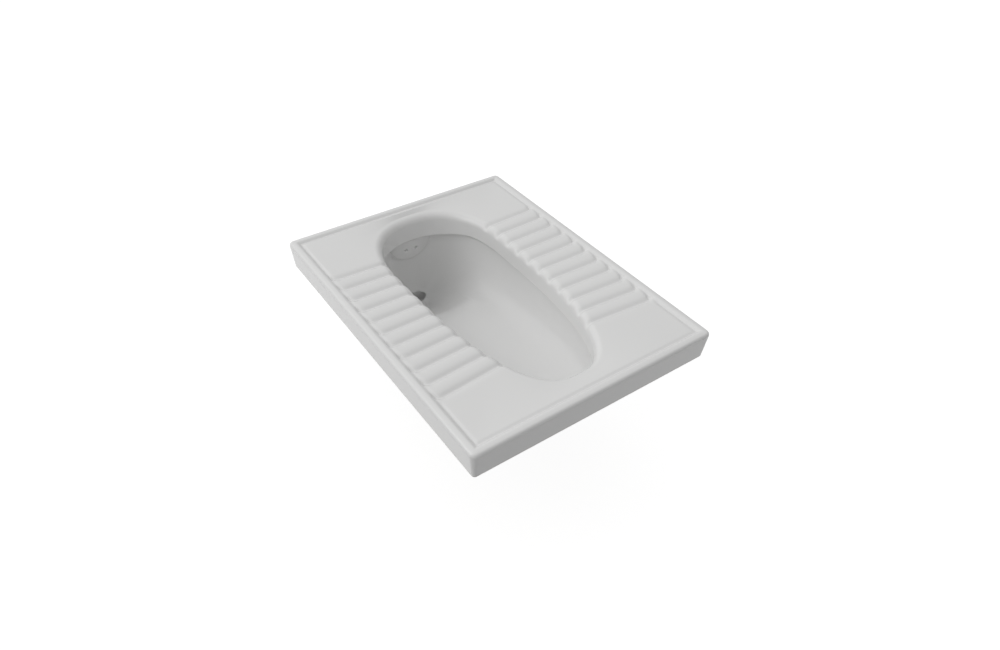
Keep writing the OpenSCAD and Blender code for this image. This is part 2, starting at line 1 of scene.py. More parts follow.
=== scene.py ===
import json
import math

import bpy
import numpy as np
from bpy.props import FloatProperty, FloatVectorProperty, PointerProperty
from mathutils import Matrix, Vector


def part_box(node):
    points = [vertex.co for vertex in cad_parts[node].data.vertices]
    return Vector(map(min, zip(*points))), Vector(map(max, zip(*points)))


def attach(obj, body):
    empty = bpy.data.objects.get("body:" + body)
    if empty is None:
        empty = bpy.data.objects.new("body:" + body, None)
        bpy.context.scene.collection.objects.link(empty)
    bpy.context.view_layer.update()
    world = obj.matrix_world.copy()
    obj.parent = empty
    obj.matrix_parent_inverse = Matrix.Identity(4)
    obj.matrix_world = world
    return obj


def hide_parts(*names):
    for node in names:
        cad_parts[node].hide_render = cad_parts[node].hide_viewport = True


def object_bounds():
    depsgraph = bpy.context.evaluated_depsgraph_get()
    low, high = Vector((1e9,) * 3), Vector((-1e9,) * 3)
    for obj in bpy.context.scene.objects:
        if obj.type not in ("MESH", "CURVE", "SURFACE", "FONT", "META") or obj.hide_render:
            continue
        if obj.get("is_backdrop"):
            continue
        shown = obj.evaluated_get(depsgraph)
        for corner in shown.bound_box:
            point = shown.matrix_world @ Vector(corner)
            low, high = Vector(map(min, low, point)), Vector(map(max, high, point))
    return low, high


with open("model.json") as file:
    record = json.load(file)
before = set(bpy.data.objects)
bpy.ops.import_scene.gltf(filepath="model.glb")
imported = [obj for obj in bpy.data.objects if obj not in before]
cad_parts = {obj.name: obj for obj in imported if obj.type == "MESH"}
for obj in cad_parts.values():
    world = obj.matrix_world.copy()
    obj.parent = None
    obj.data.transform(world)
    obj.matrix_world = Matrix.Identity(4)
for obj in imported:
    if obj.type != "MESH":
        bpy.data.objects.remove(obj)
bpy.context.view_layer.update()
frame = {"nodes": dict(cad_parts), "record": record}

bl_info = {
    "name": "Squat toilet",
    "version": (1, 0, 0),
    "blender": (4, 2, 0),
    "location": "3D View > Sidebar > Squat toilet",
    "description": "Glazed squat pan with its jet cap, flush connector and trap, in a plain studio",
    "category": "Add Mesh",
}

# Shapes are worked out in millimetres, and a mesh is in metres.
# +Z is up, +Y is the rear, and z = 0 is the skirt's underside.
MM = 0.001

# The slab and its skirt
HALF_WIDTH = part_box("pan")[1].x / MM
HALF_LENGTH = -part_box("pan")[0].y / MM
SLAB_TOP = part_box("pan")[1].z / MM
SPIGOT_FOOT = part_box("pan")[0].z / MM
HORN_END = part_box("pan")[1].y / MM
CORNER_RADIUS = 10
SHARPEST_CORNER = 2
SKIRT_DRAFT = 4.5
WALL = 10
EDGE_RADIUS = 6
BEAD_WIDTH = 14
GUTTER_WIDTH = 8
DECK_EDGE = BEAD_WIDTH + GUTTER_WIDTH
GUTTER_DEPTH = 1.2
GUTTER_START = 12
GUTTER_MIDDLE = 17
DECK_HEIGHT = SLAB_TOP - 2.5
DECK_FALL = 5.5
UNDERSIDE = 28.2
UNDERSIDE_RISE = 1.6

# The egg-shaped opening: two half superellipses that meet at its widest place
EGG_Y = 110
EGG_HALF_WIDTH = 104
EGG_REAR = 137
EGG_FRONT = 343
REAR_POWER = 2.4
FRONT_POWER = 2.65
SHOULDER_RADIUS = 14
COLLAR_TOP = DECK_HEIGHT - DECK_FALL - SHOULDER_RADIUS
LIP_HEIGHT = 3
LIP_EDGE_RADIUS = 1.6
LIP_REAR_FALL = 8
LIP_FALL_START_Y = 180
LIP_FALL_END_Y = 240

# The bowl
BOWL_TOP = -6
BOWL_UNDERCUT = 7
REAR_UNDERCUT = 18
TRAY_FRONT_DEPTH = 50
TRAY_REAR_DEPTH = 88
WELL_DEPTH = 152
WELL_Y = 250
WELL_RADIUS = 25
WELL_SLOPE = 0.65
WELL_STRETCH = 1.1
FLOOR_POWER = 5
FOOT_POWER = 0.45
REAR_FLOOR_POWER = 14
REAR_FOOT_POWER = 0.25
JOIN_SOFTNESS = 7
OUTSIDE_RINGS = 14

# The throat at the foot of the bowl's rear wall, and the outlet under it
FLOOR_Z = BOWL_TOP - WELL_DEPTH
THROAT_Y = WELL_Y + 1
THROAT_HALF_WIDTH = 29
THROAT_HALF_LENGTH = 9.5
THROAT_RISE = 25
THROAT_EDGE = 1.8
OUTLET_Y = 220
OUTLET_RADIUS = 38
OUTLET_TOP = FLOOR_Z - WALL
OUTLET_EDGE = 1.5
SPIGOT_RADIUS = 48
SPIGOT_EDGE = 3

# The foot treads; the slants are in degrees, and each groove hooks to the rear at its outer end
GROOVE_COUNT = 11
GROOVE_PITCH = 32.4
GROOVE_FIRST_Y = 150
GROOVE_LAST_Y = GROOVE_FIRST_Y - GROOVE_PITCH * (GROOVE_COUNT - 1)
SLANT_REAR = 2
SLANT_FRONT = 7
GROOVE_OUTER_X = HALF_WIDTH - BEAD_WIDTH - 5
HOOK_LENGTH = 9
HOOK_REACH = 5

# The flush inlet, the flat pad inside the bowl's rear wall, and the jet cap on it
INLET_Z = -34
INLET_BORE = 20
INLET_AXIS = (0, 1, 0)
TURN_STEPS = 96
HORN_RADIUS = 27.5
PAD_INSET = 7
PAD_FACE_Y = EGG_Y + EGG_REAR + REAR_UNDERCUT - PAD_INSET
PIT_MARGIN = 6
CAP_Z = -6
CAP_RADIUS = 46
CAP_BULGE = 6
CAP_RIM = 1.2
CAP_BACK_Y = PAD_FACE_Y - 0.05
CAP_TOP = BOWL_TOP - 2
CAP_HALF_WIDTH = math.sqrt(CAP_RADIUS ** 2 - (CAP_TOP - CAP_Z) ** 2)
JET_X = 10.5
JET_Z = -28
JET_RADIUS = 2.5
COUNTERSINK_DEPTH = 1.1
COUNTERSINK_WIDTH = 1.8
TAIL_RADIUS = 19.6
TAIL_BORE = 15.5
TAIL_GROOVE_RADIUS = 17.3
TAIL_LENGTH = 20


# ---------------------------------------------------------------- settings

class PanSettings(bpy.types.PropertyGroup):
    """Sizes and colours of the casting."""

    groove_depth: FloatProperty(
        name="Groove depth", description="Depth of the foot treads' grooves",
        default=0.0031, min=0.0, max=0.004, unit="LENGTH")
    groove_width: FloatProperty(
        name="Groove width", description="Half width of a groove's hollow",
        default=0.0052, min=0.001, max=0.008, unit="LENGTH")
    tread_crown: FloatProperty(
        name="Tread crown", description="How far a tread bulges between its grooves",
        default=0.0008, min=0.0, max=0.002, unit="LENGTH")
    glaze_colour: FloatVectorProperty(
        name="Glaze", description="Colour of the white glaze",
        default=(0.80, 0.80, 0.795), min=0.0, max=1.0, size=3, subtype="COLOR")
    bisque_colour: FloatVectorProperty(
        name="Bisque", description="Colour of the bare fired body underneath",
        default=(0.62, 0.58, 0.52), min=0.0, max=1.0, size=3, subtype="COLOR")


class FittingSettings(bpy.types.PropertyGroup):
    """Colours of the connector and the trap."""

    rubber_colour: FloatVectorProperty(
        name="Rubber", description="Colour of the seals and the flush cone",
        default=(0.022, 0.022, 0.024), min=0.0, max=1.0, size=3, subtype="COLOR")
    steel_colour: FloatVectorProperty(
        name="Steel", description="Colour of the clamps",
        default=(0.58, 0.58, 0.57), min=0.0, max=1.0, size=3, subtype="COLOR")
    trap_colour: FloatVectorProperty(
        name="Trap", description="Colour of the trap's plastic",
        default=(0.26, 0.275, 0.285), min=0.0, max=1.0, size=3, subtype="COLOR")
    nut_colour: FloatVectorProperty(
        name="Union nut", description="Colour of the union nut",
        default=(0.15, 0.16, 0.17), min=0.0, max=1.0, size=3, subtype="COLOR")
    cap_colour: FloatVectorProperty(
        name="Cleaning cap", description="Colour of the cleaning eye's cap",
        default=(0.55, 0.13, 0.025), min=0.0, max=1.0, size=3, subtype="COLOR")


class StudioSettings(bpy.types.PropertyGroup):
    """Lamps and floor."""

    key_power: FloatProperty(
        name="Key lamp", description="Power of the lamp at the left, towards the rear",
        default=6.0, min=0.0, unit="POWER")
    world_strength: FloatProperty(
        name="World", description="Strength of the light from all round",
        default=0.71, min=0.0, max=1.0, subtype="FACTOR")
    floor_size: FloatProperty(
        name="Floor size", description="Length of the floor's side",
        default=30.0, min=1.0, unit="LENGTH")


# ---------------------------------------------------------------- meshes

def put_mesh(name, points, faces, body, values=None):
    """A mesh object from points in millimetres and corner lists, smooth, with its faces turned outwards.

    The mesh encloses a volume, the sum over its triangles of a . (b x c) / 6. Where that
    comes out negative the faces point inwards, and they are flipped.
    """
    mesh = bpy.data.meshes.new(name)
    mesh.from_pydata((np.asarray(points, float) * MM).tolist(), [], faces)
    mesh.calc_loop_triangles()
    corners = np.empty(len(mesh.loop_triangles) * 3, int)
    mesh.loop_triangles.foreach_get("vertices", corners)
    a, b, c = np.asarray(points)[corners.reshape(-1, 3)].transpose(1, 0, 2)
    if np.einsum("ij,ij->i", a, np.cross(b, c)).sum() < 0:
        mesh.flip_normals()
    mesh.shade_smooth()
    if values is not None:
        layer = mesh.attributes.new("bare", "FLOAT", "POINT")
        layer.data.foreach_set("value", np.ascontiguousarray(values, np.float32).ravel())
    mesh.validate()
    obj = bpy.data.objects.new(name, mesh)
    bpy.context.scene.collection.objects.link(obj)
    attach(obj, body)
    return obj


def grid_faces(rows, columns, rows_close):
    """Four-cornered faces of a grid of points whose columns close on themselves, and whose rows may."""
    r = np.arange(rows if rows_close else rows - 1)[:, None]
    c = np.arange(columns)[None, :]
    after_r, after_c = (r + 1) % rows, (c + 1) % columns
    corners = [r * columns + c, r * columns + after_c, after_r * columns + after_c, after_r * columns + c]
    return np.stack(corners, axis=-1).reshape(-1, 4).tolist()


def put_grid(name, grid, body, rows_close=True, values=None):
    """A mesh from a grid (rows, columns, 3) of points. Where the rows don't close, both ends get a lid."""
    rows, columns = grid.shape[:2]
    faces = grid_faces(rows, columns, rows_close)
    if not rows_close:
        faces.append(list(range(columns))[::-1])
        faces.append(list(range((rows - 1) * columns, rows * columns)))
    return put_mesh(name, grid.reshape(-1, 3), faces, body, values)


def eased(value, low, high):
    """0 below low, 1 above high, and 3t^2 - 2t^3 between them."""
    t = np.clip((value - low) / (high - low), 0, 1)
    return t * t * (3 - 2 * t)


def turned(profile, steps, origin, axis):
    """A profile of (radius, distance) turned about an axis.

    A point is origin + distance * axis + radius * (cos, sin) across the axis.
    """
    axis = np.asarray(axis, float)
    across = np.cross(axis, (0, 0, 1) if abs(axis[2]) < 0.5 else (1, 0, 0))
    across /= np.linalg.norm(across)
    other = np.cross(axis, across)
    turn = np.linspace(0, 2 * np.pi, steps, endpoint=False)
    spokes = np.cos(turn)[:, None] * across + np.sin(turn)[:, None] * other
    radius, along = np.asarray(profile, float).T
    return (np.asarray(origin, float) + along[:, None, None] * axis
            + radius[:, None, None] * spokes[None, :, :])


# ---------------------------------------------------------------- outlines of the pan

FRONT_SIDE_Y = GROOVE_LAST_Y - GROOVE_PITCH / 2

# Steps of a quarter of the slab's outline: along its end, round its corner and on to the treads
END_STEPS = (26, 12, 12)

# Places of the station lines within one pitch of the treads, closest together at the groove
PITCH_PLACES = np.array([-12.6, -9, -6.2, -4.5, -3.1, -1.9, -0.9, 0,
                         0.9, 1.9, 3.1, 4.5, 6.2, 9, 12.6, 16.2])


def side_stations():
    """The y at which each station line of the long sides leaves the slab, front to rear."""
    centres = GROOVE_LAST_Y + GROOVE_PITCH * np.arange(GROOVE_COUNT)
    return np.concatenate([[FRONT_SIDE_Y], (centres[:, None] + PITCH_PLACES).ravel()])


SIDE_Y = side_stations()
END_COUNT = sum(END_STEPS)
HALF_COUNT = 2 * END_COUNT + len(SIDE_Y)


def slant(y):
    """Tangent of the treads' slant at a station line: linear from the rearmost groove to the foremost."""
    share = np.clip((GROOVE_FIRST_Y - y) / (GROOVE_FIRST_Y - GROOVE_LAST_Y), 0, 1)
    return np.tan(np.radians(SLANT_REAR + (SLANT_FRONT - SLANT_REAR) * share))


def whole_ring(half):
    """Mirrors a half ring, which runs from the front's middle over +X to the rear's middle."""
    mirrored = half[-2:0:-1] * np.array([-1, 1])
    return np.concatenate([half, mirrored])


def slab_half(inset):
    """Half the slab's rounded rectangle drawn in by inset: straight, arc and straight at each end, and
    the side between them."""
    x, y = HALF_WIDTH - inset, HALF_LENGTH - inset
    r = max(CORNER_RADIUS - inset, SHARPEST_CORNER)
    straight, arc, side = END_STEPS

    def end(sign, side_y):
        """The front (sign -1) or rear (sign 1) end, from its middle to the side at side_y."""
        t = np.arange(straight) / straight
        first = np.stack([t * (x - r), np.full_like(t, sign * y)], 1)
        turn = np.pi / 2 * (1 - np.arange(arc) / arc)
        bend = np.stack([x - r + r * np.cos(turn), sign * (y - r + r * np.sin(turn))], 1)
        t = np.arange(side) / side
        last = np.stack([np.full_like(t, x), sign * (y - r) + t * (side_y - sign * (y - r))], 1)
        return np.concatenate([first, bend, last])

    middle = np.stack([np.full_like(SIDE_Y, x), SIDE_Y], 1)
    return np.concatenate([end(-1, SIDE_Y[0]), middle, end(1, SIDE_Y[-1])[::-1]])


def egg_half_width(y, a, rear, front):
    """a * (1 - share^p)^(1/p), where share is the distance from the widest place over the reach."""
    behind = y > EGG_Y
    power = np.where(behind, REAR_POWER, FRONT_POWER)
    share = np.clip(np.abs(y - EGG_Y) / np.where(behind, rear, front), 0, 1)
    return a * (1 - share ** power) ** (1 / power)


def egg_half(a, rear, front):
    """Half the egg's outline: side stations where the slanted lines meet it, and ends spread evenly
    along it."""
    y = SIDE_Y.copy()
    for _ in range(8):
        x = egg_half_width(y, a, rear, front)
        y = SIDE_Y + slant(SIDE_Y) * (GROOVE_OUTER_X - x)
    middle = np.stack([egg_half_width(y, a, rear, front), y], 1)

    def end(sign, reach, power, side_y):
        """An end: x = a * cos(t)^(2/p), y = middle + sign * reach * sin(t)^(2/p), evenly spread."""
        start = np.arcsin((abs(side_y - EGG_Y) / reach) ** (power / 2))
        turn = np.linspace(np.pi / 2, start, 600)
        curve = np.stack([a * np.cos(turn) ** (2 / power),
                          EGG_Y + sign * reach * np.sin(turn) ** (2 / power)], 1)
        curve[0, 0] = 0
        run = np.concatenate([[0], np.cumsum(np.linalg.norm(np.diff(curve, axis=0), axis=1))])
        wanted = run[-1] * np.arange(END_COUNT) / END_COUNT
        return np.stack([np.interp(wanted, run, curve[:, 0]), np.interp(wanted, run, curve[:, 1])], 1)

    return np.concatenate([end(-1, front, FRONT_POWER, y[0]), middle,
                           end(1, rear, REAR_POWER, y[-1])[::-1]])


def slab_ring(inset):
    """The slab's whole outline, drawn in by inset."""
    return whole_ring(slab_half(inset))


def opening_ring(grow):
    """The opening's whole outline, grown by grow."""
    return whole_ring(egg_half(EGG_HALF_WIDTH + grow, EGG_REAR + grow, EGG_FRONT + grow))


def bowl_ring():
    """The bowl's whole outline under the lip, which is undercut all round and most at the rear."""
    return whole_ring(egg_half(EGG_HALF_WIDTH + BOWL_UNDERCUT, EGG_REAR + REAR_UNDERCUT,
                               EGG_FRONT + BOWL_UNDERCUT))


# The y of each station line of a whole ring; beyond the treads it is the slab's own y
STATION_Y = slab_ring(DECK_EDGE)[:, 1]


# ---------------------------------------------------------------- surfaces of the pan

def egg_share(x, y, a, rear, front):
    """Where a point lies between the egg's middle (0) and its outline (1)."""
    behind = y > EGG_Y
    power = np.where(behind, REAR_POWER, FRONT_POWER)
    reach = np.where(behind, rear, front)
    return ((np.abs(x) / a) ** power + (np.abs(y - EGG_Y) / reach) ** power) ** (1 / power)


def distance_from_egg(x, y, grow):
    """First-order distance from the opening's grown outline: (share - 1) over the share's slope."""
    a, rear, front = EGG_HALF_WIDTH + grow, EGG_REAR + grow, EGG_FRONT + grow
    step = 0.5
    share = egg_share(x, y, a, rear, front)
    slope_x = (egg_share(np.abs(x) + step, y, a, rear, front) - share) / step
    slope_y = (egg_share(x, y + step, a, rear, front)
               - egg_share(x, y - step, a, rear, front)) / (2 * step)
    return np.maximum(share - 1, 0) / np.hypot(slope_x, slope_y)


def distance_from_gutter(x, y):
    """Distance in from the deck's outer edge, with the corner between two sides rounded off."""
    softness = 16
    dx = HALF_WIDTH - DECK_EDGE - np.abs(x)
    dy = HALF_LENGTH - DECK_EDGE - np.abs(y)
    mix = np.clip(0.5 + 0.5 * (dy - dx) / softness, 0, 1)
    return np.maximum(dy * (1 - mix) + dx * mix - softness * mix * (1 - mix), 0)


def deck_z(x, y):
    """The deck falls from the gutter to the shoulder in proportion to the way between them."""
    outer = distance_from_gutter(x, y)
    inner = distance_from_egg(x, y, SHOULDER_RADIUS)
    return DECK_HEIGHT - DECK_FALL * outer / (outer + inner + 1e-6)


def nearest_groove(y):
    """Signed distance from the nearest groove's line, by station y."""
    k = np.clip(np.round((GROOVE_FIRST_Y - y) / GROOVE_PITCH), 0, GROOVE_COUNT - 1)
    return y - (GROOVE_FIRST_Y - k * GROOVE_PITCH)


def tread_height(x, settings):
    """Height of the treads over the plain deck.

    Each groove is -depth * exp(-(d / width)^2), where d is the distance from its line, and the
    line hooks to the rear at its outer end. Between grooves the tread bulges by
    crown * sin^2(pi * d / pitch).
    """
    along_hook = (np.abs(x) - (GROOVE_OUTER_X - HOOK_LENGTH)) / HOOK_LENGTH
    hook = HOOK_REACH * np.clip(along_hook, 0, 1.3) ** 2
    d = nearest_groove(STATION_Y - hook)
    depth, width = settings.groove_depth / MM, settings.groove_width / MM
    groove = -depth * np.exp(-(d / width) ** 2)
    within = (eased(STATION_Y, GROOVE_LAST_Y - 2, GROOVE_LAST_Y + 2)
              * (1 - eased(STATION_Y, GROOVE_FIRST_Y - 2, GROOVE_FIRST_Y + 2)))
    crown = settings.tread_crown / MM * np.sin(np.pi * d / GROOVE_PITCH) ** 2 * within
    reach = 1 - eased(np.abs(x), GROOVE_OUTER_X - 2, GROOVE_OUTER_X + 6)
    return (groove + crown) * reach


def gutter_depth():
    """How deep the gutter is at each station: full beside the plain deck, and along the treads
    only just behind each groove's hooked end."""
    behind = np.clip(nearest_groove(STATION_Y), -GROOVE_PITCH / 2, GROOVE_PITCH / 2)
    pocket = eased(behind, -4, 2) * (1 - eased(behind, 6, 15))
    beside = (eased(STATION_Y, GROOVE_LAST_Y - 16, GROOVE_LAST_Y - 6)
              * (1 - eased(STATION_Y, GROOVE_FIRST_Y + 8, GROOVE_FIRST_Y + 20)))
    return 1.0 - beside * (1 - (0.15 + 0.95 * pocket))


def bead_z(inset, depth):
    """Height of the slab's top from its rounded edge inwards: a bead, its inner roll and the gutter."""
    roll = (SLAB_TOP - DECK_HEIGHT) * eased(inset, 10, 17.5)
    crest = 0.25 * np.clip((inset - 9) / 3, -1, 1) ** 2
    hollow = eased(inset, GUTTER_START, GUTTER_MIDDLE) * (1 - eased(inset, GUTTER_MIDDLE, DECK_EDGE + 1))
    return SLAB_TOP - roll - crest * (1 - eased(inset, 10, 14)) - depth * GUTTER_DEPTH * hollow


def foot(share, power, roundness):
    """(1 - share^power)^roundness, which brings a depth up to nothing at the outline."""
    return (1 - share ** power) ** roundness


def bowl_depth(x, y):
    """Depth of the bowl: a tray that falls to the rear and a well, whichever is deeper, with the
    join rounded. The tray's foot is (1 - share^5)^0.45, and the well's sharpens to the rear."""
    half, front = EGG_HALF_WIDTH + BOWL_UNDERCUT, EGG_FRONT + BOWL_UNDERCUT
    rear = EGG_REAR + REAR_UNDERCUT
    share = np.clip(egg_share(x, y, half, rear, front), 0.01, 1)
    run = (y - (EGG_Y - front)) / (front + rear)
    tray_foot = foot(share, FLOOR_POWER, FOOT_POWER)
    tray = (TRAY_FRONT_DEPTH + (TRAY_REAR_DEPTH - TRAY_FRONT_DEPTH) * run) * tray_foot
    away = np.hypot(WELL_STRETCH * x, y - WELL_Y) - WELL_RADIUS
    aft = np.minimum(1, (np.maximum(0, y - EGG_Y) / rear / share) ** (2 * REAR_POWER))
    well = (WELL_DEPTH - WELL_SLOPE * np.maximum(0, away)) * foot(
        share, FLOOR_POWER + (REAR_FLOOR_POWER - FLOOR_POWER) * aft,
        FOOT_POWER + (REAR_FOOT_POWER - FOOT_POWER) * aft)
    softness = JOIN_SOFTNESS * tray_foot + 0.01
    mix = np.clip(0.5 + 0.5 * (well - tray) / softness, 0, 1)
    return tray * (1 - mix) + well * mix + softness * mix * (1 - mix)


def rim_directions():
    """The direction from the throat's middle in which each station line ends: half its own
    bearing and half its even share of the way round."""
    ring = bowl_ring()[:HALF_COUNT]
    bearing = np.arctan2(ring[:, 1] - THROAT_Y, ring[:, 0])
    run = np.concatenate([[0], np.cumsum(np.linalg.norm(np.diff(ring, axis=0), axis=1))])
    even = -np.pi / 2 + np.pi * run / run[-1]
    angle = 0.5 * bearing + 0.5 * even
    return whole_ring(np.stack([np.cos(angle), np.sin(angle)], 1))


def at(plan, z):
    """Plan points with a height."""
    return np.column_stack([plan, np.broadcast_to(z, len(plan))])


def pad_share(x, z):
    """1 on the flat face behind the jet cap and 0 beyond its margin."""
    return 1 - eased(np.hypot(x, z - CAP_Z), CAP_RADIUS + 0.5, CAP_RADIUS + 5)


def on_bowl(plan):
    """Plan points with the height of the bowl's inside."""
    return np.concatenate([plan, BOWL_TOP - bowl_depth(plan[..., :1], plan[..., 1:])], -1)


def throat_rim():
    """Where the bowl's inside meets the throat's dome, going out from the throat's middle along each
    direction: the first place where (x / a)^2 + (y / b)^2 + (z / h)^2 is 1. Returns the distances."""
    far = np.linspace(0.5, THROAT_HALF_WIDTH + 3, 400)
    spokes = rim_directions()
    plan = spokes[:, None] * far[None, :, None] + np.array([0, THROAT_Y])
    x, y, z = np.moveaxis(on_bowl(plan), -1, 0)
    outside = ((x / THROAT_HALF_WIDTH) ** 2 + ((y - THROAT_Y) / THROAT_HALF_LENGTH) ** 2
               + ((z - FLOOR_Z) / THROAT_RISE) ** 2) > 1
    return far[np.argmax(outside, axis=1)]


def throat_ring(z):
    """The throat's section at heights z, one for each direction.

    Below the bowl's floor it is an upright elliptical hole, and above the floor the hole times
    sqrt(1 - (z / h)^2), which is a dome.
    """
    spokes = rim_directions()
    hole = spokes / np.hypot(spokes[:, :1] / THROAT_HALF_WIDTH, spokes[:, 1:] / THROAT_HALF_LENGTH)
    dome = np.sqrt(1 - np.clip((z - FLOOR_Z) / THROAT_RISE, 0, 0.999) ** 2)
    return at(hole * dome[:, None] + np.array([0, THROAT_Y]), z)


def throat_rings():
    """The throat's rounded edge, a quadratic curve from the bowl's surface over the rim and down the
    dome, and then the way down to the outlet's bore."""
    spokes, rim = rim_directions(), throat_rim()[:, None]
    before = on_bowl(spokes * (rim + THROAT_EDGE) + np.array([0, THROAT_Y]))
    corner = on_bowl(spokes * rim + np.array([0, THROAT_Y]))
    start_z = corner[:, 2] - THROAT_EDGE
    after = throat_ring(start_z)
    rings = [before * (1 - t) ** 2 + corner * 2 * t * (1 - t) + after * t ** 2
             for t in (0.25, 0.5, 0.75)]
    rings += [throat_ring(start_z * (1 - share) + (OUTLET_TOP + 1) * share)
              for share in (0, 0.2, 0.4, 0.6, 0.8, 1)]
    return rings


def bowl_grids():
    """The bowl's inside as rings from its outline to the throat's edge, and its outside.

    A ring lies at the share s of the way from outline to rim, closest together at the
    outline, where the wall is steep: s = 1 - (1 - t^(1/0.45))^(1/5) for even steps t of the depth.
    The outside is one wall further out along the normal, and where that comes inside the
    spigot, it is on the spigot. The inside has the jet cap's flat pad and a pit for its tail.
    """
    t = np.linspace(0, 1, 34)[:-1]
    steep = 1 - (1 - t ** (1 / FOOT_POWER)) ** (1 / FLOOR_POWER)
    steps = np.concatenate([steep[steep < 0.55], np.linspace(0.58, 1, 14)])
    outline, spokes = bowl_ring(), rim_directions()
    rim = spokes * (throat_rim()[:, None] + THROAT_EDGE) + np.array([0, THROAT_Y])
    inside = on_bowl(outline[None] * (1 - steps)[:, None, None] + rim[None] * steps[:, None, None])
    inside[0, :, 2] = BOWL_TOP

    along = np.roll(inside, -1, 1) - np.roll(inside, 1, 1)
    down = np.gradient(inside, axis=0)
    normal = np.cross(along, down)
    normal /= np.linalg.norm(normal, axis=-1, keepdims=True) + 1e-9
    normal *= -np.sign(normal[..., 2:] + 1e-9)
    normal[0, :, 2] = 0
    edge = np.roll(outline, -1, 0) - np.roll(outline, 1, 0)
    normal[0, :, 0], normal[0, :, 1] = edge[:, 1], -edge[:, 0]
    normal[0] /= np.linalg.norm(normal[0], axis=-1, keepdims=True)
    outside = inside + WALL * normal
    outward = outside[..., :2] - np.array([0, OUTLET_Y])
    far = np.linalg.norm(outward, axis=-1, keepdims=True)
    near = far[..., 0] < SPIGOT_RADIUS
    on_spigot = spokes[None] * SPIGOT_RADIUS + np.array([0, OUTLET_Y])
    outside[..., :2] = np.where(near[..., None], np.broadcast_to(on_spigot, outward.shape),
                                outside[..., :2])
    outside[..., 2] = np.minimum.accumulate(outside[..., 2], axis=0)

    face = pad_share(inside[..., 0], inside[..., 2]) * (inside[..., 1] > OUTLET_Y)
    inside[..., 1] += (PAD_FACE_Y - inside[..., 1]) * face
    from_inlet = np.hypot(inside[..., 0], inside[..., 2] - INLET_Z)
    pit = (from_inlet < INLET_BORE - PIT_MARGIN) & (face > 0.99)
    inside[..., 1] += np.where(pit, WALL - 2, 0)
    return inside, outside


